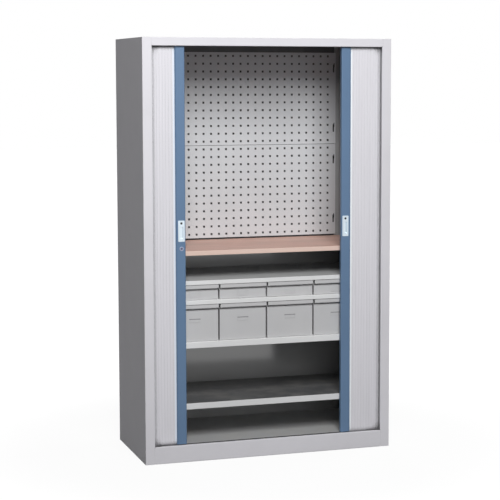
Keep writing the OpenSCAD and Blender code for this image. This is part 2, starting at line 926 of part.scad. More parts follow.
module pull_screw(side, open) {
    color(black)
    on_side(side)
    translate([pull_x(open), post_front_y - pull_t, pull_z + pull_h / 2 - screw_drop])
    rotate([-90, 0, 0])
    difference() {
        union() {
            cylinder(d1 = screw_d, d2 = 3.1, h = 1.2);
            cylinder(d = 3.1, h = 12);
        }
        translate([-0.6, -2, -1]) cube([1.2, 4, 1.5]);
        translate([-2, -0.6, -1]) cube([4, 1.2, 1.5]);
    }
}

// Lock, in the left post

module at_lock() {
    on_side(-1)
    translate([left_open + lock_x, post_front_y, lock_z])
    rotate([-90, 0, 0])
    children();
}

module lock_barrel() {
    color(steel)
    at_lock()
    difference() {
        union() {
            translate([0, 0, -1.5]) cylinder(d = barrel_d + 3, h = 1.5);
            cylinder(d = barrel_d, h = bolt_y - post_front_y - bolt_t / 2 - 0.6);
        }
        translate([0, 0, -3]) cylinder(d = core_d + 2 * core_play, h = post_d);
    }
}

module lock_core() {
    color(black)
    at_lock()
    difference() {
        union() {
            translate([0, 0, -1.8]) cylinder(d = core_d, h = bolt_y - post_front_y - bolt_t / 2 + 1.8);
            cylinder(d = 6, h = bolt_y - post_front_y + bolt_t / 2 + 1.5);
        }
        translate([-0.7, -3.5, -3]) cube([1.4, 7, 8]);
    }
}

// The turning bolt, which hangs in the post until the key swings it out through the slot
module lock_bolt() {
    color(steel)
    on_side(-1)
    translate([left_open + lock_x, bolt_y - bolt_t / 2, lock_z])
    rotate([-90, 0, 0])
    linear_extrude(height = bolt_t)
    difference() {
        union() {
            circle(7);
            translate([-bolt_w / 2, 0]) square([bolt_w, bolt_l - bolt_w / 2]);
            translate([0, bolt_l - bolt_w / 2]) circle(bolt_w / 2);
        }
        circle(3.05);
        translate([-bolt_w / 2 - 1, lock_x + post_wall - 0.6]) square([1 + bolt_bite, strike_t + 1.3]);
    }
}

// The plate whose slot's upper end drops into the bolt's notch when the posts meet
module strike_plate() {
    color(steel)
    translate([right_open + post_wall + 0.1, bolt_y - 5, lock_z - bolt_slot_low - 12])
    difference() {
        cube([strike_t, 9.4, bolt_slot_low + bolt_slot_high + 24]);
        translate([-1, 5 - bolt_t / 2 - 0.6, 12])
        cube([strike_t + 2, bolt_t + 1.2, bolt_slot_low + bolt_w / 2 - bolt_bite + 1]);
    }
}

side_panel(-1);  // side_panel_left
side_panel(1);  // side_panel_right
roof_panel();
back_panel();
base_tray();
plinth_rail();
floor_panel();
pocket_lining(-1);  // pocket_lining_left
pocket_lining(1);  // pocket_lining_right
track_top(-1);  // track_top_left
track_top(1);  // track_top_right
track_bottom(-1);  // track_bottom_left
track_bottom(1);  // track_bottom_right
track_buffers();
perforated_panel(panel_low_z + panel_rise);  // perforated_panel_upper
perforated_panel(panel_low_z);  // perforated_panel_lower
panel_hooks();
worktop();
worktop_bearers();
lower_shelf();
bin_shelf();
rack_middle();
rack_top();
rack_cheeks();
shelf_clips();
bin_upper(1);  // bin_upper_1
bin_upper(2);  // bin_upper_2
bin_upper(3);  // bin_upper_3
bin_upper(4);  // bin_upper_4
bin_lower(1);  // bin_lower_1
bin_lower(2);  // bin_lower_2
bin_lower(3);  // bin_lower_3
bin_lower(4);  // bin_lower_4
label_upper(2);  // label_upper_2
label_upper(3);  // label_upper_3
label_lower(2);  // label_lower_2
label_lower(3);  // label_lower_3
labels_outer_bins();
lead_post(-1, left_open);  // lead_post_left
post_glides(-1, left_open);  // post_glides_left
slats(-1, left_open, 0, front_slats);  // front_slats_left
slats(-1, left_open, front_slats, side_slats);  // side_slats_left
tail_slat(-1, left_open);  // tail_slat_left
pull(-1, left_open);  // pull_left
pull_screw(-1, left_open);  // pull_screw_left
lock_barrel();
lock_core();
lock_bolt();
lead_post(1, right_open);  // lead_post_right
post_glides(1, right_open);  // post_glides_right
slats(1, right_open, 0, front_slats);  // front_slats_right
slats(1, right_open, front_slats, side_slats);  // side_slats_right
tail_slat(1, right_open);  // tail_slat_right
pull(1, right_open);  // pull_right
pull_screw(1, right_open);  // pull_screw_right
strike_plate();
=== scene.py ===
"""Looks for the tambour cabinet: finishes for its CAD pieces, the curtains' slats behind the posts, and a
plain studio.
"""

import logging
import math
from collections.abc import Callable, Mapping, Sequence
from dataclasses import dataclass, field
from enum import Enum

import bmesh
import bpy
from mathutils import Matrix, Vector

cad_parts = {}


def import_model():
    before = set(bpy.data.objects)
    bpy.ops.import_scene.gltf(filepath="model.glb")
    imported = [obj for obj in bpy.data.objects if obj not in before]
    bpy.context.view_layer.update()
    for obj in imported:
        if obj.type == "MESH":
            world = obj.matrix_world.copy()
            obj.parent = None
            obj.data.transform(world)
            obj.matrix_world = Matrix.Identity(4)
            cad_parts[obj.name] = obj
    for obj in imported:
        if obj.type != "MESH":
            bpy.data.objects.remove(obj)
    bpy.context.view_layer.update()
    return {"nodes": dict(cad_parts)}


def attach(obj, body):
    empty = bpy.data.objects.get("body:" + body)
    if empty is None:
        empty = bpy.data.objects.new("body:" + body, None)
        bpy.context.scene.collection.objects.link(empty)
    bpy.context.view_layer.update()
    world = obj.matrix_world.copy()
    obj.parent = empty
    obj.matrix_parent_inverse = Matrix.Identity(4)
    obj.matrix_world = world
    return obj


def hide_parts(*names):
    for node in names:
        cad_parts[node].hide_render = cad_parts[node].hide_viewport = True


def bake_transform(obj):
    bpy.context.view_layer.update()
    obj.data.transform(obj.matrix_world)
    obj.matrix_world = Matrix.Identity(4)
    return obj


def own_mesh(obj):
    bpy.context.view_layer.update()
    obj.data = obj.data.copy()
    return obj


log = logging.getLogger("tambour_cabinet")

Colour = tuple[float, float, float]
Point = tuple[float, float]
Place = tuple[float, float, float]
Node = bpy.types.Node
Socket = bpy.types.NodeSocket
Tree = bpy.types.NodeTree
Values = Mapping[object, object]
Sockets = Mapping[str, Socket]

WHITE: Colour = (1.0, 1.0, 1.0)
CASING_GREY: Colour = (0.745, 0.735, 0.775)
SHELF_GREY: Colour = (0.775, 0.78, 0.785)
BARE_STEEL: Colour = (0.42, 0.42, 0.43)
DUST_ON_PAINT: Colour = (0.47, 0.45, 0.41)
DUST_ON_PLASTIC: Colour = (0.36, 0.35, 0.33)
DUST_ON_METAL: Colour = (0.33, 0.32, 0.30)
DUST_ON_WOOD: Colour = (0.50, 0.46, 0.41)
# How dark the painted shade in the slots is, against the paint
SLOT_SHADE_FACTOR = 0.2
RUBBED = 0.78
LACQUER_ROUGHNESS = 0.14
LACQUER_IOR = 2.0


class Side(Enum):
    """The side of the cabinet, as seen from the front."""

    LEFT = -1
    RIGHT = 1


class Along(Enum):
    """The way that brushing or drawing lines run over a surface."""

    X = (0.02, 1.0, 1.0)
    Z = (1.0, 1.0, 0.02)


class Way(Enum):
    """The way that a face looks."""

    UP = (0.0, 0.0, 1.0)
    DOWN = (0.0, 0.0, -1.0)
    FRONT = (0.0, -1.0, 0.0)


class Effect(Enum):
    """The node groups that the finishes share."""

    WEAR = "edge_wear"
    DUST = "dust"
    PEEL = "coat_peel"
    SCUFF = "scuffs"
    LINES = "drawn_lines"
    FACING = "faces_one_way"
    STRIP = "upright_strip"
    SLOT = "shaded_slot"


def opaque(colour: Colour) -> tuple[float, float, float, float]:
    """A colour with full alpha, as Blender's colour sockets take it."""
    return (*colour, 1.0)


def shade(colour: Colour, factor: float) -> Colour:
    """A colour made darker or lighter by a factor."""
    return tuple(min(1.0, c * factor) for c in colour)


def add_object(name: str, data: bpy.types.ID) -> bpy.types.Object:
    """Puts a new object into the scene.

    Args:
        name: its name.
        data: its mesh, lamp or camera.

    Returns:
        The object.
    """
    made = bpy.data.objects.new(name, data)
    bpy.context.scene.collection.objects.link(made)
    return made


# Node trees


class Graph:
    """Adds nodes to one node tree and joins their sockets."""

    def __init__(self, tree: Tree) -> None:
        """Keeps the tree that the nodes go into."""
        self.tree = tree

    def put(self, socket: Socket, value: object) -> None:
        """Links a socket to another one, or sets its value.

        Args:
            socket: the input to fill.
            value: an output socket, or a plain value.
        """
        if isinstance(value, Socket):
            self.tree.links.new(value, socket)
        else:
            socket.default_value = value

    def add(self, kind: str, sockets: Values | None = None, **settings: object) -> Node:
        """Adds one node.

        Args:
            kind: the node's type.
            sockets: values or output sockets for its inputs, by name or number.
            settings: the node's own properties.

        Returns:
            The new node.
        """
        node = self.tree.nodes.new(kind)
        for name, value in settings.items():
            setattr(node, name, value)
        for key, value in (sockets or {}).items():
            self.put(node.inputs[key], value)
        return node

    def compute(self, operation: str, a: object, b: object = 0.0, clamp: bool = False) -> Socket:
        """A Math node's result.

        Args:
            operation: the name of the operation.
            a: first value or socket.
            b: second value or socket.
            clamp: keep the result between 0 and 1.

        Returns:
            The result socket.
        """
        return self.add("ShaderNodeMath", {0: a, 1: b}, operation=operation, use_clamp=clamp).outputs[0]

    def times(self, a: object, b: object, clamp: bool = False) -> Socket:
        """The product of two values or sockets."""
        return self.compute("MULTIPLY", a, b, clamp)

    def plus(self, a: object, b: object, clamp: bool = False) -> Socket:
        """The sum of two values or sockets."""
        return self.compute("ADD", a, b, clamp)

    def dot(self, a: Socket, b: Socket) -> Socket:
        """The dot product of two vectors."""
        return self.add("ShaderNodeVectorMath", {0: a, 1: b}, operation="DOT_PRODUCT").outputs["Value"]

    def vector(self, x: object, y: object, z: object) -> Socket:
        """A vector put together from three values or sockets."""
        return self.add("ShaderNodeCombineXYZ", {0: x, 1: y, 2: z}).outputs[0]

    def mix(self, factor: object, a: object, b: object) -> Socket:
        """Two colours mixed by a factor.

        Args:
            factor: value or socket from 0 to 1.
            a: colour or socket at 0.
            b: colour or socket at 1.

        Returns:
            The mixed colour's socket.
        """
        node = self.add("ShaderNodeMix", {0: factor, 6: a, 7: b}, data_type="RGBA")
        return node.outputs[2]

    def fit(
        self, value: Socket, low: float, high: float, to_low: float = 0.0, to_high: float = 1.0
    ) -> Socket:
        """A value mapped smoothly from one range to another, and kept inside it.

        Args:
            value: the socket to map.
            low: its value that gives to_low.
            high: its value that gives to_high.
            to_low: lowest result.
            to_high: highest result.

        Returns:
            The mapped value's socket.
        """
        sockets = {0: value, 1: low, 2: high, 3: to_low, 4: to_high}
        return self.add("ShaderNodeMapRange", sockets, interpolation_type="SMOOTHSTEP").outputs[0]

    def noise(self, vector: Socket, scale: object, detail: float = 2.0, roughness: float = 0.5) -> Socket:
        """A noise value between 0 and 1.

        Args:
            vector: where to look it up.
            scale: lumps per metre.
            detail: octaves.
            roughness: share of the finer octaves.

        Returns:
            The noise value's socket.
        """
        sockets = {"Vector": vector, "Scale": scale, "Detail": detail, "Roughness": roughness}
        return self.add("ShaderNodeTexNoise", sockets).outputs[0]

    def place(self) -> Socket:
        """Coordinates of the piece itself, in metres."""
        return self.add("ShaderNodeTexCoord").outputs["Object"]

    def split(self, vector: Socket) -> Sockets:
        """A vector's parts, by the names X, Y and Z."""
        return self.add("ShaderNodeSeparateXYZ", {0: vector}).outputs

    def stretched(self, vector: Socket, scale: Sequence[float]) -> Socket:
        """Coordinates scaled along each axis."""
        return self.add("ShaderNodeVectorMath", {0: vector, 1: tuple(scale)}, operation="MULTIPLY").outputs[0]


class Effects:
    """The shared node groups, each built the first time that a finish asks for it."""

    def __init__(self) -> None:
        """Starts with no group built."""
        self.built: dict[Effect, Tree] = {}

    def use(self, graph: Graph, effect: Effect, **values: object) -> Node:
        """Puts a group into a material.

        Args:
            graph: the material's graph.
            effect: the group wanted.
            values: its inputs, with underscores for the spaces in their names.

        Returns:
            The group's node.
        """
        if effect not in self.built:
            self.built[effect] = self.build(effect)
        node = graph.add("ShaderNodeGroup", node_tree=self.built[effect])
        for name, value in values.items():
            graph.put(node.inputs[name.replace("_", " ").capitalize()], value)
        return node

    def build(self, effect: Effect) -> Tree:
        """Builds one group.

        Args:
            effect: the group wanted.

        Returns:
            Its node tree.
        """
        makers: dict[Effect, Callable[[Graph], None]] = {
            Effect.WEAR: self.wear,
            Effect.DUST: self.dust,
            Effect.PEEL: self.peel,
            Effect.SCUFF: self.scuff,
            Effect.LINES: self.lines,
            Effect.FACING: self.facing,
            Effect.STRIP: self.strip,
            Effect.SLOT: self.slot,
        }
        tree = bpy.data.node_groups.new(effect.value, "ShaderNodeTree")
        makers[effect](Graph(tree))
        return tree

    def sockets(self, graph: Graph, inputs: Values, outputs: Sequence[str]) -> tuple[Sockets, Sockets]:
        """Gives a group its sockets.

        Args:
            graph: the group's graph.
            inputs: names and first values of its inputs.
            outputs: names of its outputs.

        Returns:
            The sockets that give the inputs, and those that take the outputs.
        """
        tree, kind = graph.tree, "NodeSocketFloat"
        for name, value in inputs.items():
            tree.interface.new_socket(name=name, in_out="INPUT", socket_type=kind).default_value = value
        for name in outputs:
            tree.interface.new_socket(name=name, in_out="OUTPUT", socket_type=kind)
        return tree.nodes.new("NodeGroupInput").outputs, tree.nodes.new("NodeGroupOutput").inputs

    def hidden(self, graph: Graph, reach: Socket, samples: int) -> Socket:
        """How far nearby faces close a place in, from 0 to 1.

        Args:
            graph: the group's graph.
            reach: how far to look, in metres.
            samples: rays sent out.

        Returns:
            The value's socket.
        """
        node = graph.add("ShaderNodeAmbientOcclusion", {"Distance": reach}, samples=samples)
        return graph.compute("SUBTRACT", 1.0, node.outputs["AO"], clamp=True)

    def wear(self, graph: Graph) -> None:
        """A mask along sharp edges, broken up by noise, where a coat is rubbed through.

        Args:
            graph: the group's graph.
        """
        given, result = self.sockets(graph, {"Radius": 0.001, "Amount": 0.5, "Breakup": 60.0}, ["Mask"])
        bevel = graph.add("ShaderNodeBevel", {"Radius": given["Radius"]}, samples=4)
        normal = graph.add("ShaderNodeNewGeometry").outputs["Normal"]
        dot = graph.dot(bevel.outputs[0], normal)
        edge = graph.times(graph.compute("SUBTRACT", 1.0, dot), 9.0, clamp=True)
        broken = graph.noise(graph.place(), given["Breakup"], detail=5.0, roughness=0.7)
        worn = graph.fit(graph.plus(broken, graph.times(given["Amount"], 0.25)), low=0.52, high=0.66)
        mask = graph.times(graph.times(edge, worn), given["Amount"], clamp=True)
        graph.put(result["Mask"], mask)

    def dust(self, graph: Graph) -> None:
        """A mask on faces that look up and in corners, where dust settles.

        Args:
            graph: the group's graph.
        """
        given, result = self.sockets(graph, {"Amount": 0.3, "Scale": 9.0, "Reach": 0.04}, ["Mask"])
        normal = graph.add("ShaderNodeNewGeometry").outputs["Normal"]
        up = graph.fit(graph.split(normal)["Z"], low=0.55, high=1.0)
        lumps = graph.noise(graph.place(), given["Scale"], detail=6.0, roughness=0.62)
        clouds = graph.fit(lumps, low=0.36, high=0.72)
        specks = graph.fit(graph.noise(graph.place(), scale=700.0), low=0.52, high=0.7)
        corner = self.hidden(graph, given["Reach"], samples=6)
        settled = graph.times(up, graph.plus(clouds, graph.times(specks, 0.35), clamp=True))
        edge = graph.times(corner, graph.times(clouds, 0.8))
        total = graph.times(graph.plus(settled, edge, clamp=True), given["Amount"], clamp=True)
        graph.put(result["Mask"], total)

    def peel(self, graph: Graph) -> None:
        """The fine dimples of a sprayed coat, and its slow changes of shade.

        Args:
            graph: the group's graph.
        """
        given, result = self.sockets(graph, {"Grain": 900.0, "Drift": 2.2}, ["Height", "Shade"])
        where = graph.place()
        fine = graph.noise(where, given["Grain"], roughness=0.6)
        broad = graph.noise(where, graph.times(given["Grain"], 0.21), detail=1.0)
        graph.put(result["Height"], graph.plus(graph.times(fine, 0.6), graph.times(broad, 0.4)))
        slow = graph.noise(where, given["Drift"], detail=4.0, roughness=0.55)
        slow = graph.fit(slow, low=0.28, high=0.72)
        flecks = graph.noise(where, graph.times(given["Grain"], 0.6), detail=0.0)
        graph.put(result["Shade"], graph.plus(graph.times(slow, 0.7), graph.times(flecks, 0.3)))

    def scuff(self, graph: Graph) -> None:
        """Short rub marks and hairline scratches, here and there.

        Args:
            graph: the group's graph.
        """
        given, result = self.sockets(graph, {"Amount": 0.3, "Scale": 14.0}, ["Mask"])
        where = graph.place()
        scale = given["Scale"]
        turned = graph.add("ShaderNodeVectorRotate", {"Vector": where, "Angle": 0.5}, rotation_type="Y_AXIS")
        slanted = graph.stretched(turned.outputs[0], (4.0, 4.0, 90.0))
        first = graph.noise(slanted, scale, detail=3.0, roughness=0.6)
        second = graph.noise(graph.stretched(where, (80.0, 80.0, 5.0)), scale, detail=3.0, roughness=0.6)
        patches = graph.fit(graph.noise(where, scale, detail=3.0), low=0.5, high=0.68)
        rubs, scratches = graph.fit(first, low=0.66, high=0.74), graph.fit(second, low=0.68, high=0.76)
        lines = graph.compute("MAXIMUM", rubs, scratches)
        marks = graph.plus(graph.times(lines, patches), graph.times(patches, 0.18))
        graph.put(result["Mask"], graph.times(marks, given["Amount"], clamp=True))

    def lines(self, graph: Graph) -> None:
        """Fine lines along one way, left by brushing, drawing or extruding.

        Args:
            graph: the group's graph.
        """
        names = {"Along x": 1.0, "Along y": 1.0, "Along z": 0.02, "Scale": 900.0}
        given, result = self.sockets(graph, names, ["Height", "Shade"])
        way = graph.vector(*(given[name] for name in ("Along x", "Along y", "Along z")))
        where = graph.add("ShaderNodeVectorMath", {0: graph.place(), 1: way}, operation="MULTIPLY").outputs[0]
        height = graph.noise(where, given["Scale"], detail=3.0, roughness=0.65)
        graph.put(result["Height"], height)
        broad = graph.noise(where, graph.times(given["Scale"], 0.12), detail=3.0, roughness=0.6)
        graph.put(result["Shade"], graph.fit(broad, low=0.3, high=0.7))

    def facing(self, graph: Graph) -> None:
        """A mask on the faces that look one way, between two heights and within a distance of the middle.

        Args:
            graph: the group's graph.
        """
        names = {"Way x": 0.0, "Way y": 0.0, "Way z": 1.0, "Above": -1.0, "Below": 9.0, "Within": 9.0}
        given, result = self.sockets(graph, names, ["Mask"])
        way = graph.vector(*(given[name] for name in ("Way x", "Way y", "Way z")))
        dot = graph.dot(graph.add("ShaderNodeTexCoord").outputs["Normal"], way)
        split = graph.split(graph.place())
        above = graph.compute("GREATER_THAN", split["Z"], given["Above"])
        below = graph.compute("LESS_THAN", split["Z"], given["Below"])
        within = graph.compute("LESS_THAN", graph.compute("ABSOLUTE", split["X"]), given["Within"])
        place = graph.times(graph.times(above, below), within)
        graph.put(result["Mask"], graph.times(graph.fit(dot, low=0.5, high=0.8), place))

    def strip(self, graph: Graph) -> None:
        """A mask on an upright strip at a distance to either side of the middle.

        Args:
            graph: the group's graph.
        """
        given, result = self.sockets(graph, {"Inner": 0.1, "Outer": 0.2}, ["Mask"])
        across = graph.compute("ABSOLUTE", graph.split(graph.place())["X"])
        beyond = graph.compute("GREATER_THAN", across, given["Inner"])
        within = graph.compute("LESS_THAN", across, given["Outer"])
        graph.put(result["Mask"], graph.times(beyond, within))

    def slot(self, graph: Graph) -> None:
        """A mask in the slots beside the frame, where shade is painted into the colour; none at the foot.

        Args:
            graph: the group's graph.
        """
        given, result = self.sockets(graph, {"Reach": 0.04, "Amount": 0.7}, ["Mask"])
        deep = graph.fit(self.hidden(graph, given["Reach"], samples=8), low=0.21, high=0.33)
        high = graph.fit(graph.split(graph.place())["Z"], low=0.03, high=0.06)
        graph.put(result["Mask"], graph.times(graph.times(deep, high), given["Amount"]))


# Finishes


@dataclass(frozen=True)
class Patch:
    """The part of a coat in another shade: the faces that look one way, in a stated place; some patches are
    painted shade.
    """

    colour: Colour
    way: Way
    above: float = -1.0
    below: float = 9.0
    within: float = 9.0
    lacquered: bool = False

    def mask(self, graph: Graph, effects: Effects) -> Socket:
        """Where the patch lies.

        Args:
            graph: the material's graph.
            effects: the shared node groups.

        Returns:
            The mask's socket.
        """
        x, y, z = self.way.value
        lie = {"above": self.above, "below": self.below, "within": self.within}
        node = effects.use(graph, Effect.FACING, way_x=x, way_y=y, way_z=z, **lie)
        return node.outputs[0]


@dataclass(frozen=True)
class Finish:
    """What every finish has: a name, a colour and a gloss."""

    name: str
    colour: Colour
    roughness: float

    def shader(self, effects: Effects) -> bpy.types.Material:
        """Makes the material.

        Args:
            effects: the shared node groups.

        Returns:
            The material.
        """
        material = bpy.data.materials.new(self.name)
        material.use_nodes = True
        graph = Graph(material.node_tree)
        surface = material.node_tree.nodes["Principled BSDF"]
        surface.inputs["Base Color"].default_value = opaque(self.colour)
        surface.inputs["Roughness"].default_value = self.roughness
        material.diffuse_color = opaque(self.colour)
        self.dress(graph, surface.inputs, effects)
        return material

    def dress(self, graph: Graph, inputs: Sockets, effects: Effects) -> None:
        """Adds the finish's own nodes; each finish has its own way."""

    def bump(self, graph: Graph, inputs: Sockets, height: Socket, depth: float, strength: float) -> None:
        """Raises the surface's normal by a height.

        Args:
            graph: the material's graph.
            inputs: the shader's inputs.
            height: the height's socket.
            depth: metres between its lowest and highest.
            strength: share of the effect.
        """
        node = graph.add("ShaderNodeBump", {"Height": height, "Distance": depth, "Strength": strength})
        graph.put(inputs["Normal"], node.outputs[0])


@dataclass(frozen=True)
class Coat(Finish):
    """Sprayed and baked paint on sheet steel."""

    grain: float = 900.0
    peel: float = 0.35
    drift: float = 0.05
    wear: float = 0.25
    dust: float = 0.2
    scuffs: float = 0.2
    specular: float = 0.35
    slot: float = 0.0
    patches: tuple[Patch, ...] = ()

    def dress(self, graph: Graph, inputs: Sockets, effects: Effects) -> None:
        """Paint with dimples, rubbed edges, scuffs and a little dust, and patches in other shades, some of
        them painted shade, and painted shade in the slots.

        Args:
            graph: the material's graph.
            inputs: the shader's inputs.
            effects: the shared node groups.
        """
        peel = effects.use(graph, Effect.PEEL, grain=self.grain)
        worn = effects.use(graph, Effect.WEAR, amount=self.wear).outputs[0]
        dust = effects.use(graph, Effect.DUST, amount=self.dust).outputs[0]
        scuff = effects.use(graph, Effect.SCUFF, amount=self.scuffs).outputs[0]
        dark, light = shade(self.colour, 1 - self.drift), shade(self.colour, 1 + self.drift)
        paint = graph.mix(peel.outputs["Shade"], opaque(dark), opaque(light))
        lacquer = None
        for patch in self.patches:
            there = patch.mask(graph, effects)
            paint = graph.mix(there, paint, opaque(patch.colour))
            if patch.lacquered:
                lacquer = there
            elif lacquer:
                lacquer = graph.compute("SUBTRACT", lacquer, there, clamp=True)
        if lacquer:
            inputs["Coat Roughness"].default_value = LACQUER_ROUGHNESS
            inputs["Coat IOR"].default_value = LACQUER_IOR
            graph.put(inputs["Coat Weight"], lacquer)
        # Painted shade: the slots and deep gaps are darkened in the paint's colour
        if self.slot:
            deep = effects.use(graph, Effect.SLOT, amount=self.slot).outputs[0]
            paint = graph.mix(deep, paint, opaque(shade(self.colour, SLOT_SHADE_FACTOR)))
        rubbed = graph.mix(scuff, paint, opaque(shade(self.colour, RUBBED)))
        bare = graph.mix(worn, rubbed, opaque(BARE_STEEL))
        graph.put(inputs["Base Color"], graph.mix(dust, bare, opaque(DUST_ON_PAINT)))
        rough = graph.plus(graph.times(dust, 0.3), graph.times(peel.outputs["Shade"], 0.08))
        graph.put(inputs["Roughness"], graph.plus(rough, self.roughness - 0.04, clamp=True))
        inputs["Specular IOR Level"].default_value = self.specular
        self.bump(graph, inputs, peel.outputs["Height"], depth=0.0004, strength=self.peel)


@dataclass(frozen=True)
class Plastic(Finish):
    """Extruded or moulded plastic with faint flow lines."""

    lines: float = 0.15
    dust: float = 0.1
    specular: float = 0.4
    # A painted highlight: its colour, and its inner and outer distance from the middle
    strip: Colour | None = None
    strip_x: Point = (0.0, 0.0)
    slot: float = 0.0

    def dress(self, graph: Graph, inputs: Sockets, effects: Effects) -> None:
        """Plastic with extrusion lines, a slow change of shade, dust in its joints, a painted highlight strip
        where one is given, and painted shade in its grooves.

        Args:
            graph: the material's graph.
            inputs: the shader's inputs.
            effects: the shared node groups.
        """
        drawn = effects.use(graph, Effect.LINES, scale=1400.0)
        peel = effects.use(graph, Effect.PEEL, grain=500.0, drift=3.0)
        dust = effects.use(graph, Effect.DUST, amount=self.dust, reach=0.004).outputs[0]
        dark, light = shade(self.colour, 0.975), shade(self.colour, 1.02)
        plain = graph.mix(drawn.outputs["Shade"], opaque(dark), opaque(light))
        aged = graph.mix(graph.times(peel.outputs["Shade"], 0.06), plain, opaque(shade(self.colour, 0.8)))
        # Painted highlight: a pale upright strip on the first slat beside the post
        if self.strip:
            inner, outer = self.strip_x
            there = effects.use(graph, Effect.STRIP, inner=inner, outer=outer).outputs[0]
            aged = graph.mix(there, aged, opaque(self.strip))
        # Painted shade: the grooves and the gaps beside the frame are darkened on the front faces
        if self.slot:
            painted_slot_shade = Patch(shade(self.colour, 0.1), Way.FRONT)
            deep = effects.use(graph, Effect.SLOT, amount=self.slot).outputs[0]
            deep = graph.times(deep, painted_slot_shade.mask(graph, effects))
            aged = graph.mix(deep, aged, opaque(painted_slot_shade.colour))
        graph.put(inputs["Base Color"], graph.mix(dust, aged, opaque(DUST_ON_PLASTIC)))
        rough = graph.times(peel.outputs["Shade"], 0.1)
        graph.put(inputs["Roughness"], graph.plus(rough, self.roughness - 0.05, clamp=True))
        inputs["Specular IOR Level"].default_value = self.specular
        self.bump(graph, inputs, drawn.outputs["Height"], depth=0.0003, strength=self.lines)


@dataclass(frozen=True)
class Metal(Finish):
    """Bare or plated metal with brushing or drawing lines."""

    along: Along = Along.Z
    lines: float = 0.2
    tarnish: Colour = (0.30, 0.30, 0.31)
    stain: float = 0.25

    def dress(self, graph: Graph, inputs: Sockets, effects: Effects) -> None:
        """Metal with fine lines, dull patches and darker corners.

        Args:
            graph: the material's graph.
            inputs: the shader's inputs.
            effects: the shared node groups.
        """
        x, y, z = self.along.value
        drawn = effects.use(graph, Effect.LINES, along_x=x, along_y=y, along_z=z)
        dust = effects.use(graph, Effect.DUST, amount=0.35, reach=0.008).outputs[0]
        scuff = effects.use(graph, Effect.SCUFF, amount=self.stain, scale=40.0).outputs[0]
        dark, light = shade(self.colour, 0.93), shade(self.colour, 1.05)
        bright = graph.mix(drawn.outputs["Shade"], opaque(dark), opaque(light))
        dull = graph.mix(scuff, bright, opaque(self.tarnish))
        graph.put(inputs["Base Color"], graph.mix(dust, dull, opaque(DUST_ON_METAL)))
        covered = graph.times(dust, 0.8)
        graph.put(inputs["Metallic"], graph.compute("SUBTRACT", 1.0, covered, clamp=True))
        rough = graph.plus(graph.times(scuff, 0.5), graph.times(drawn.outputs["Shade"], 0.1))
        graph.put(inputs["Roughness"], graph.plus(rough, self.roughness - 0.05, clamp=True))
        self.bump(graph, inputs, drawn.outputs["Height"], depth=0.0002, strength=self.lines)


@dataclass(frozen=True)
class Wood(Finish):
    """A board glued up from strips of beech, oiled."""

    stave_w: float = 0.042
    stave_l: float = 0.56
    dark: Colour = (0.50, 0.30, 0.22)
    pale: Colour = (0.80, 0.64, 0.53)
    # The paler colour of the front faces: painted light
    lit_front_colour: Colour = (0.82, 0.68, 0.60)
    under: Colour = (0.62, 0.63, 0.63)
    evenness: float = 0.62
    flecking: float = 0.22

    def staves(self, graph: Graph, where: Socket) -> Socket:
        """A value that changes from strip to strip.

        Args:
            graph: the material's graph.
            where: the piece's coordinates.

        Returns:
            The value's socket.
        """
        split = graph.split(where)
        row = graph.compute("FLOOR", graph.compute("DIVIDE", split["Y"], self.stave_w))
        shift = graph.add("ShaderNodeTexWhiteNoise", {"W": row}, noise_dimensions="1D").outputs[0]
        run = graph.plus(graph.compute("DIVIDE", split["X"], self.stave_l), shift)
        cell = graph.vector(graph.compute("FLOOR", run), row, 0.0)
        return graph.add("ShaderNodeTexWhiteNoise", {"Vector": cell}).outputs[0]

    def dress(self, graph: Graph, inputs: Sockets, effects: Effects) -> None:
        """Strips of slightly different shade, long grain, short flecks, rubbed edges, and a paler front face
        that is painted light.

        Args:
            graph: the material's graph.
            inputs: the shader's inputs.
            effects: the shared node groups.
        """
        where = graph.place()
        stave = self.staves(graph, where)
        offset = graph.vector(graph.times(stave, 7.0), 0.0, graph.times(stave, 3.0))
        moved = graph.add("ShaderNodeVectorMath", {0: where, 1: offset}, operation="ADD").outputs[0]
        long = graph.stretched(moved, (0.045, 1.0, 1.0))
        grain = graph.noise(long, scale=190.0, detail=5.0, roughness=0.62)
        rings = graph.noise(graph.stretched(moved, (0.12, 1.0, 1.0)), scale=26.0, detail=3.0)
        flecks = graph.noise(graph.stretched(moved, (0.22, 1.0, 1.0)), scale=620.0, detail=1.0)
        flecks = graph.fit(flecks, low=0.6, high=0.72)
        tone = graph.plus(graph.times(grain, 0.55), graph.times(rings, 0.45))
        wood = graph.mix(graph.fit(tone, low=0.3, high=0.7), opaque(self.dark), opaque(self.pale))
        evened = graph.mix(self.evenness, wood, opaque(self.colour))
        depth = graph.fit(stave, low=0.0, high=1.0, to_high=0.24)
        strips = graph.mix(depth, evened, opaque(self.dark))
        flecked = graph.mix(graph.times(flecks, self.flecking), strips, opaque(shade(self.dark, 0.7)))
        worn = effects.use(graph, Effect.WEAR, radius=0.002, amount=0.7, breakup=25.0).outputs[0]
        # Painted light: the front faces are made paler, as if lit from the front
        front = Patch(self.lit_front_colour, Way.FRONT).mask(graph, effects)
        lit_front = graph.mix(graph.times(front, 0.6), flecked, opaque(self.lit_front_colour))
        below = Patch(self.under, Way.DOWN).mask(graph, effects)
        edged = graph.mix(below, graph.mix(worn, lit_front, opaque(self.pale)), opaque(self.under))
        dust = effects.use(graph, Effect.DUST, amount=0.14).outputs[0]
        graph.put(inputs["Base Color"], graph.mix(dust, edged, opaque(DUST_ON_WOOD)))
        smooth, dull = self.roughness - 0.07, self.roughness + 0.1
        rough = graph.fit(grain, low=0.2, high=0.8, to_low=smooth, to_high=dull)
        graph.put(inputs["Roughness"], rough)
        inputs["Specular IOR Level"].default_value = 0.35
        self.bump(graph, inputs, grain, depth=0.0004, strength=0.25)


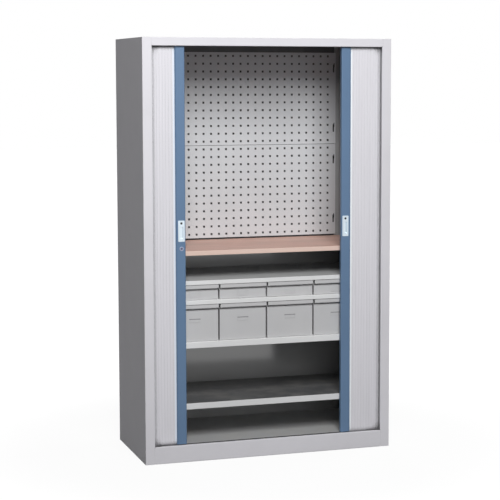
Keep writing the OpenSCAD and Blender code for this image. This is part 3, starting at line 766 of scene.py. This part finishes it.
class Finishes:
    """Every finish of the cabinet, made once and handed out by name."""

    # slot: painted shade in the gaps beside the curtain
    CASING = Coat("casing_coat", CASING_GREY, roughness=0.55, wear=0.3, dust=0.18, specular=0.08, slot=0.85)
    INNER_BACK = Patch((0.47, 0.475, 0.48), Way.FRONT, lacquered=True)
    # Painted shade: the back's inner face is near black behind the perforated panels, where it lies in shade
    SHADE_BEHIND_PANELS = Patch((0.125, 0.127, 0.13), Way.FRONT, above=0.93, within=0.515)
    BACK = Coat("back_coat", CASING_GREY, roughness=0.5, specular=0.3, patches=(INNER_BACK, SHADE_BEHIND_PANELS))
    INSIDE = Coat("inside_coat", (0.30, 0.305, 0.31), roughness=0.6, wear=0.15, dust=0.15, specular=0.1)
    SHELF = Coat("shelf_coat", SHELF_GREY, roughness=0.48, wear=0.35, dust=0.35, scuffs=0.4)
    # Painted shade: the rack top's upper face is painted darker, for the shade under the worktop
    PAINTED_RACK_TOP_SHADE = Patch((0.49, 0.493, 0.497), Way.UP)
    RACK_TOP = Coat(
        "rack_top_coat", SHELF_GREY, roughness=0.48,
        wear=0.35, dust=0.15, scuffs=0.4, patches=(PAINTED_RACK_TOP_SHADE,),
    )
    # Painted shade: the lower shelf's upper face is painted near black, for the shade under the bin shelf
    SHELF_TOP_SHADE = Patch((0.09, 0.092, 0.096), Way.UP)
    LOWER_SHELF = Coat("lower_shelf_coat", (0.72, 0.725, 0.73), roughness=0.5, wear=0.3, patches=(SHELF_TOP_SHADE,))
    FLOOR = Coat("floor_coat", (0.45, 0.455, 0.46), roughness=0.5, wear=0.3, dust=0.3, scuffs=0.4)
    PANEL = Coat(
        "panel_coat", (0.655, 0.67, 0.69), roughness=0.45,
        grain=600.0, peel=0.2, wear=0.1, dust=0.03, scuffs=0.06, specular=0.12,
    )
    BIN = Coat("bin_coat", (0.56, 0.56, 0.57), roughness=0.5, wear=0.35, scuffs=0.3)
    # The label card's top edge with a painted shadow line: a dark band along it
    CARD_EDGE_SHADOW = Patch((0.26, 0.26, 0.27), Way.FRONT, above=0.6535, below=0.6577)
    LABEL = Coat(
        "label_coat", (0.555, 0.555, 0.565), roughness=0.5,
        wear=0.2, scuffs=0.3, patches=(CARD_EDGE_SHADOW,),
    )
    POST = Coat(
        "post_coat", (0.125, 0.207, 0.335), roughness=0.38,
        grain=500.0, peel=0.12, wear=0.4, dust=0.08, scuffs=0.3, specular=0.3,
    )
    BLACK_STEEL = Coat("black_steel", (0.035, 0.035, 0.038), roughness=0.5, wear=0.3, dust=0.3)
    SLAT = Plastic("slat_plastic", (0.77, 0.76, 0.805), roughness=0.42, specular=0.2, slot=0.9)
    # Painted shade and light: one plastic, the left curtain's a little darker and the right's a little
    # lighter than the other slats', with more painted slot shade on the left
    SLAT_LEFT = Plastic(
        "slat_plastic_left", (0.765, 0.755, 0.80), roughness=0.42,
        # strip: a painted highlight beside the post
        specular=0.2, slot=0.95, strip=(0.79, 0.85, 0.95), strip_x=(0.446, 0.4555),
    )
    SLAT_RIGHT = Plastic(
        "slat_plastic_right", (0.78, 0.77, 0.815), roughness=0.42,
        # strip: a painted highlight beside the post
        specular=0.2, slot=0.7, strip=(0.93, 0.97, 1.0), strip_x=(0.404, 0.4125),
    )
    NYLON = Plastic("black_nylon", (0.03, 0.03, 0.033), roughness=0.5, dust=0.25)
    RUBBER = Plastic(
        "buffer_rubber", (0.022, 0.022, 0.022), roughness=0.75,
        lines=0.05, dust=0.4, specular=0.2,
    )
    TRACK = Metal(
        "track_aluminium", (0.045, 0.045, 0.05), roughness=0.5,
        along=Along.X, tarnish=(0.08, 0.08, 0.08),
    )
    PULL = Metal("pull_plating", (0.60, 0.68, 0.74), roughness=0.32, lines=0.12, stain=0.15)
    LOCK = Metal("lock_plating", (0.30, 0.32, 0.42), roughness=0.4, lines=0.1, stain=0.2)
    CORE = Metal("core_plating", (0.10, 0.11, 0.17), roughness=0.45, lines=0.1, tarnish=(0.06, 0.06, 0.08))
    ZINC = Metal("zinc_plating", (0.60, 0.61, 0.63), roughness=0.38, tarnish=(0.40, 0.40, 0.38))
    BEECH = Wood("oiled_beech", (0.78, 0.455, 0.385), roughness=0.5)

    def __init__(self) -> None:
        """Starts with no material made."""
        self.effects = Effects()
        self.made: dict[str, bpy.types.Material] = {}

    def material(self, finish: Finish) -> bpy.types.Material:
        """The finish's material, made when first asked for.

        Args:
            finish: the finish wanted.

        Returns:
            Its material.
        """
        if finish.name not in self.made:
            self.made[finish.name] = finish.shader(self.effects)
        return self.made[finish.name]

    def paint(self, piece: bpy.types.Object, finish: Finish) -> None:
        """Puts a finish on every material slot of a piece.

        Args:
            piece: the object to dress.
            finish: the finish wanted.
        """
        material = self.material(finish)
        if not piece.data.materials:
            piece.data.materials.append(material)
        for number in range(len(piece.data.materials)):
            piece.data.materials[number] = material


# The cabinet's groups of pieces


@dataclass
class Group:
    """A group of CAD pieces, each with its finish."""

    finishes: Finishes
    nodes: Mapping[str, bpy.types.Object]
    coats: Mapping[str, Finish] = field(default_factory=dict)

    def dress(self) -> list[str]:
        """Gives each CAD piece of the group its finish.

        Returns:
            The names of the pieces.
        """
        for name, finish in self.coats.items():
            self.finishes.paint(self.nodes[name], finish)
        return list(self.coats)


@dataclass
class Casing(Group):
    """The sheet steel body with its floor, pocket linings and tracks."""

    def __post_init__(self) -> None:
        """Lists the casing's pieces."""
        coated = ["side_panel_left", "side_panel_right", "roof_panel", "base_tray", "plinth_rail"]
        tracks = [f"track_{end}_{side}" for end in ("top", "bottom") for side in ("left", "right")]
        self.coats = {name: Finishes.CASING for name in coated}
        self.coats |= {"back_panel": Finishes.BACK, "floor_panel": Finishes.FLOOR}
        self.coats |= {f"pocket_lining_{side}": Finishes.INSIDE for side in ("left", "right")}
        self.coats |= {name: Finishes.TRACK for name in tracks}
        self.coats["track_buffers"] = Finishes.RUBBER


@dataclass
class Interior(Group):
    """Perforated panels, worktop, shelves and the rack."""

    def __post_init__(self) -> None:
        """Lists the pieces inside the cabinet."""
        shelves = ["bin_shelf", "rack_middle", "rack_cheeks"]
        self.coats = {name: Finishes.SHELF for name in shelves}
        self.coats |= {"lower_shelf": Finishes.LOWER_SHELF, "rack_top": Finishes.RACK_TOP}
        self.coats |= {f"perforated_panel_{place}": Finishes.PANEL for place in ("upper", "lower")}
        self.coats |= {"panel_hooks": Finishes.BLACK_STEEL, "worktop": Finishes.BEECH}
        self.coats |= {"worktop_bearers": Finishes.CASING, "shelf_clips": Finishes.ZINC}


@dataclass
class Bins(Group):
    """Two rows of four bins with their label holders."""

    def __post_init__(self) -> None:
        """Lists the bins."""
        rows = ("upper", "lower")
        self.coats = {f"bin_{row}_{place}": Finishes.BIN for row in rows for place in range(1, 5)}
        self.coats |= {f"label_{row}_{place}": Finishes.LABEL for row in rows for place in (2, 3)}
        self.coats["labels_outer_bins"] = Finishes.LABEL


@dataclass
class Door(Group):
    """One tambour door: its lead post and fittings, and the curtain behind it."""

    side: Side = Side.LEFT
    # The lead post: how far its inner edge stands from the middle at rest, and its width
    open_x: float = 0.400
    post_w: float = 0.047
    # The curtain: its slats' pitch and ends, its middle and its hinges' line behind the front
    pitch: float = 0.014
    slat_low: float = 0.0678
    slat_high: float = 1.924
    curtain_y: float = -0.250
    hinge_y: float = -0.2491
    # The corner: its centre and the hinges' radius
    turn_x: float = 0.543
    turn_y: float = -0.210
    hinge_r: float = 0.0391
    # The slats by number from the post: those of the CAD's front piece, and the last ones of each run
    front_count: int = 6
    last_front: int = 38
    last_slat: int = 40
    side_start: int = 9
    # Where the closing slats take up the door's travel: none of it beyond the first, all within the second
    blend_from: float = 0.592
    blend_to: float = 0.5555
    # How far the side run would close up, against what its length would need
    squeeze: float = 0.8

    def __post_init__(self) -> None:
        """Lists the door's own pieces."""
        tag = self.side.name.lower()
        self.tag = tag
        self.coats = {
            f"lead_post_{tag}": Finishes.POST,
            f"post_glides_{tag}": Finishes.NYLON,
            f"front_slats_{tag}": Finishes.SLAT_LEFT if self.side is Side.LEFT else Finishes.SLAT_RIGHT,
            f"tail_slat_{tag}": Finishes.SLAT,
            f"pull_{tag}": Finishes.PULL,
            f"pull_screw_{tag}": Finishes.BLACK_STEEL,
        }

    def outline(self) -> list[Point]:
        """One slat's section from its hinge to the next, in metres, front negative.

        Returns:
            The outline's points, in order.
        """
        front, back, crown, gap = -0.0044, 0.0026, 0.045, 0.00025
        edge, seat, shoulder = front + 0.0016, 0.0019, 0.0111
        neck, neck_end, socket_r, mouth = 0.00045, 0.01165, 0.0023, 36
        face_steps, socket_steps = 8, 6
        points = []
        for step in range(face_steps + 1):
            along = gap + step * (self.pitch - 2 * gap) / face_steps
            points.append((along, front + crown - math.sqrt(crown**2 - (along - self.pitch / 2) ** 2)))
        points += [(self.pitch - gap, edge), (shoulder, edge), (shoulder, -neck), (neck_end, -neck)]
        points += [(neck_end, neck), (shoulder, neck), (shoulder, back), (seat, back)]
        for step in range(socket_steps + 1):
            angle = math.radians(mouth + step * (360 - 2 * mouth) / socket_steps)
            points.append((socket_r * math.cos(angle), socket_r * math.sin(angle)))
        return points + [(seat, edge), (gap, edge)]

    def prism(self, mesh: bmesh.types.BMesh, section: Sequence[Point]) -> None:
        """Adds a closed upright bar with the given section.

        Args:
            mesh: the mesh that it goes into.
            section: its section in plan, for the right side of the cabinet.
        """
        sign = self.side.value
        ends = (self.slat_low, self.slat_high)
        rings = [[mesh.verts.new((sign * x, y, z)) for x, y in section] for z in ends]
        count = len(section)
        for i in range(count):
            j = (i + 1) % count
            mesh.faces.new((rings[0][i], rings[0][j], rings[1][j], rings[1][i]))
        mesh.faces.new(rings[0])
        mesh.faces.new(rings[1])

    def piece(self, name: str, sections: Sequence[Sequence[Point]]) -> bpy.types.Object:
        """Makes one object of several bars.

        Args:
            name: the object's name.
            sections: the bars' sections in plan.

        Returns:
            The object, dressed as slats.
        """
        mesh = bmesh.new()
        for section in sections:
            self.prism(mesh, section)
        bmesh.ops.recalc_face_normals(mesh, faces=mesh.faces[:])
        data = bpy.data.meshes.new(name)
        mesh.to_mesh(data)
        mesh.free()
        made = add_object(name, data)
        self.finishes.paint(made, Finishes.SLAT)
        return made

    def share(self, x: float) -> float:
        """How far a point at x moves with the door, from 0 to 1."""
        t = min(1.0, max(0.0, (self.blend_from - x) / (self.blend_from - self.blend_to)))
        return t * t * (3 - 2 * t)

    def at_rest(self, closed_x: float) -> float:
        """Where a point stands at rest, from where it stands with the door closed.

        Args:
            closed_x: its distance from the centre line with the door closed.

        Returns:
            Its distance from the centre line at rest.
        """
        low, high = closed_x, closed_x + self.open_x
        halvings = 60
        for _ in range(halvings):
            middle = (low + high) / 2
            if middle - self.open_x * self.share(middle) < closed_x:
                low = middle
            else:
                high = middle
        return (low + high) / 2

    def path(self, distance: float) -> Point:
        """A hinge's place by its distance along the curtain's path from where the corner starts.

        Args:
            distance: metres along the path.

        Returns:
            The hinge's x and y, for the right side.
        """
        turn = self.hinge_r * math.pi / 2
        if distance < 0:
            return self.turn_x + distance, self.turn_y - self.hinge_r
        if distance < turn:
            angle = distance / self.hinge_r
            return self.turn_x + self.hinge_r * math.sin(angle), self.turn_y - self.hinge_r * math.cos(angle)
        return self.turn_x + self.hinge_r, self.turn_y + distance - turn

    def closing_slats(self) -> bpy.types.Object:
        """The slats that follow the front ones, which stand ready behind the upright.

        Returns:
            The object, its slats set where they stand at rest.
        """
        sections = []
        for number in range(self.front_count, self.last_front + 1):
            start = self.post_w + number * self.pitch
            sections.append([(self.at_rest(start + u), self.hinge_y + v) for u, v in self.outline()])
        made = self.piece(f"closing_slats_{self.tag}", sections)
        sign = self.side.value
        start = (sign * self.blend_from, self.curtain_y, 1.0)
        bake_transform(made)
        return made

    def side_run(self) -> bpy.types.Object:
        """The slats round the corner and along the side panel, out of sight in the pocket.

        Returns:
            The object, which rides on the cabinet.
        """
        sections = []
        shift = self.open_x + self.post_w - self.turn_x
        for number in range(self.side_start, self.last_slat + 1):
            ax, ay = self.path(shift + number * self.pitch)
            bx, by = self.path(shift + (number + 1) * self.pitch)
            turn = math.atan2(by - ay, bx - ax)
            cos, sin = math.cos(turn), math.sin(turn)
            sections.append([(ax + u * cos - v * sin, ay + u * sin + v * cos) for u, v in self.outline()])
        made = self.piece(f"side_run_{self.tag}", sections)
        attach(made, "cabinet")
        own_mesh(made)
        return made

    def dress(self) -> list[str]:
        """Dresses the door and builds its curtain.

        Returns:
            The names of the pieces.
        """
        names = super().dress()
        closing = self.closing_slats()
        side = self.side_run()
        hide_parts(f"side_slats_{self.tag}")
        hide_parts(f"side_slats_{self.tag}")
        return [*names, closing.name, side.name]


@dataclass
class Lock(Group):
    """The lock in the left post, and the plate in the right one that it holds."""

    def __post_init__(self) -> None:
        """Lists the lock's pieces."""
        self.coats = {"lock_barrel": Finishes.LOCK, "lock_core": Finishes.CORE}
        self.coats |= {"lock_bolt": Finishes.ZINC, "strike_plate": Finishes.ZINC}


# Studio


@dataclass(frozen=True)
class Lamp:
    """A soft square lamp."""

    name: str
    place: Place
    target: Place
    size: float
    power: float

    def light(self) -> None:
        """Sets the lamp up."""
        data = bpy.data.lights.new(self.name, "AREA")
        data.shape = "SQUARE"
        data.size = self.size
        data.energy = self.power
        data.color = WHITE
        lamp = add_object(self.name, data)
        lamp.location = self.place
        lamp.rotation_mode = "QUATERNION"
        lamp.rotation_quaternion = (Vector(self.target) - Vector(self.place)).to_track_quat("-Z", "Y")


@dataclass
class Studio:
    """Floor, lamps, world and the camera at the photograph's place."""

    # The camera: where it stands, the degrees that it is turned, lowered and rolled, and its lens
    eye: Place = (-2.227000, -7.170934, 1.781535)
    yaw: float = 18.989
    pitch: float = 5.823
    roll: float = 0.044
    focal_px: float = 1569.552
    image_px: float = 500.0
    sensor_mm: float = 36.0
    far: float = 200.0
    shift: Point = (-0.10, -0.03)
    # The world's light on the object, against what the eye sees
    ambient: float = 0.045
    # The floor: its paint's grey, its glow, and the share of glow near the object and away from it
    floor_size: float = 60.0
    floor_grey: float = 0.12
    glow: float = 1.7
    near: float = 0.9
    away: float = 2.2
    glow_near: float = 0.55
    glow_away: float = 0.62
    lamps: tuple[Lamp, ...] = (
        Lamp("key", (-0.8, -4.4, 4.0), (0.0, -0.2, 1.0), size=2.2, power=245.0),
        Lamp("front_fill", (-0.6, -6.5, 2.0), (0.0, 0.0, 0.9), size=2.5, power=30.0),
        Lamp("left_fill", (-5.0, 0.5, 4.2), (-0.6, 0.0, 1.8), size=2.0, power=19.0),
        Lamp("right_fill", (5.0, 1.2, 3.0), (0.5, 0.2, 1.0), size=2.5, power=110.0),
        Lamp("back_fill", (1.0, 6.0, 3.2), (0.2, 0.0, 1.0), size=3.0, power=170.0),
    )

    def camera(self) -> None:
        """Sets the camera where the photograph was taken from."""
        data = bpy.data.cameras.new("camera")
        data.sensor_width = self.sensor_mm
        data.lens = self.focal_px / self.image_px * data.sensor_width
        data.shift_x, data.shift_y = self.shift
        data.clip_end = self.far
        camera = add_object("camera", data)
        yaw, pitch, roll = (math.radians(angle) for angle in (self.yaw, self.pitch, self.roll))
        ahead = Vector((math.sin(yaw) * math.cos(pitch), math.cos(yaw) * math.cos(pitch), -math.sin(pitch)))
        across = Vector((math.cos(yaw), -math.sin(yaw), 0.0))
        up = across.cross(ahead)
        right = across * math.cos(roll) + up * math.sin(roll)
        above = up * math.cos(roll) - across * math.sin(roll)
        turned = Matrix((right, above, -ahead)).transposed().to_4x4()
        camera.matrix_world = Matrix.Translation(Vector(self.eye)) @ turned
        bpy.context.scene.camera = camera

    def seen(self, graph: Graph) -> Socket:
        """1 for rays that show the background: from the camera, a gloss or through glass.

        Args:
            graph: the graph of the world or the floor.

        Returns:
            The value's socket.
        """
        path = graph.add("ShaderNodeLightPath").outputs
        shiny = graph.compute("MAXIMUM", path["Is Glossy Ray"], path["Is Transmission Ray"])
        return graph.compute("MAXIMUM", path["Is Camera Ray"], shiny)

    def world(self) -> None:
        """White to the eye, dim to the object."""
        world = bpy.data.worlds.new("studio")
        world.use_nodes = True
        bpy.context.scene.world = world
        graph = Graph(world.node_tree)
        background = world.node_tree.nodes["Background"]
        background.inputs["Color"].default_value = opaque(WHITE)
        strength = graph.plus(graph.times(self.seen(graph), 1.0 - self.ambient), self.ambient)
        graph.put(background.inputs["Strength"], strength)

    def floor(self) -> None:
        """A pale floor that shows white round the object's shadow."""
        half = self.floor_size / 2
        data = bpy.data.meshes.new("floor")
        corners = [(-half, -half, 0), (half, -half, 0), (half, half, 0), (-half, half, 0)]
        data.from_pydata(corners, [], [(0, 1, 2, 3)])
        floor = add_object("floor", data)
        material = bpy.data.materials.new("floor")
        material.use_nodes = True
        graph = Graph(material.node_tree)
        matt = material.node_tree.nodes["Principled BSDF"]
        matt.inputs["Base Color"].default_value = opaque((self.floor_grey,) * 3)
        matt.inputs["Roughness"].default_value = 0.9
        matt.inputs["Specular IOR Level"].default_value = 0.0
        glow = graph.add("ShaderNodeEmission", {"Color": opaque(WHITE), "Strength": self.glow})
        reach = graph.add("ShaderNodeVectorMath", {0: graph.place()}, operation="LENGTH").outputs["Value"]
        shares = {"to_low": self.glow_near, "to_high": self.glow_away}
        spread = graph.fit(reach, low=self.near, high=self.away, **shares)
        share = graph.times(self.seen(graph), spread)
        both = graph.add("ShaderNodeMixShader", {0: share, 1: matt.outputs[0], 2: glow.outputs[0]})
        graph.put(material.node_tree.nodes["Material Output"].inputs["Surface"], both.outputs[0])
        data.materials.append(material)

    def build(self) -> None:
        """Builds the studio and sets how its light is shown."""
        self.camera()
        self.world()
        self.floor()
        for lamp in self.lamps:
            lamp.light()
        bpy.context.scene.view_settings.view_transform = "Standard"


def main() -> None:
    """Dresses the cabinet group by group and builds the studio."""
    logging.basicConfig(level=logging.INFO, format="%(name)s: %(message)s")
    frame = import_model()
    finishes = Finishes()
    nodes = frame["nodes"]
    groups: list[Group] = [
        Casing(finishes, nodes),
        Interior(finishes, nodes),
        Bins(finishes, nodes),
        Door(finishes, nodes),
        Door(finishes, nodes, side=Side.RIGHT, open_x=0.358, side_start=12),
        Lock(finishes, nodes),
    ]
    for group in groups:
        for name in group.dress():
            log.info("%s: %s", type(group).__name__, name)
    Studio().build()


if __name__ == "__main__":
    main()
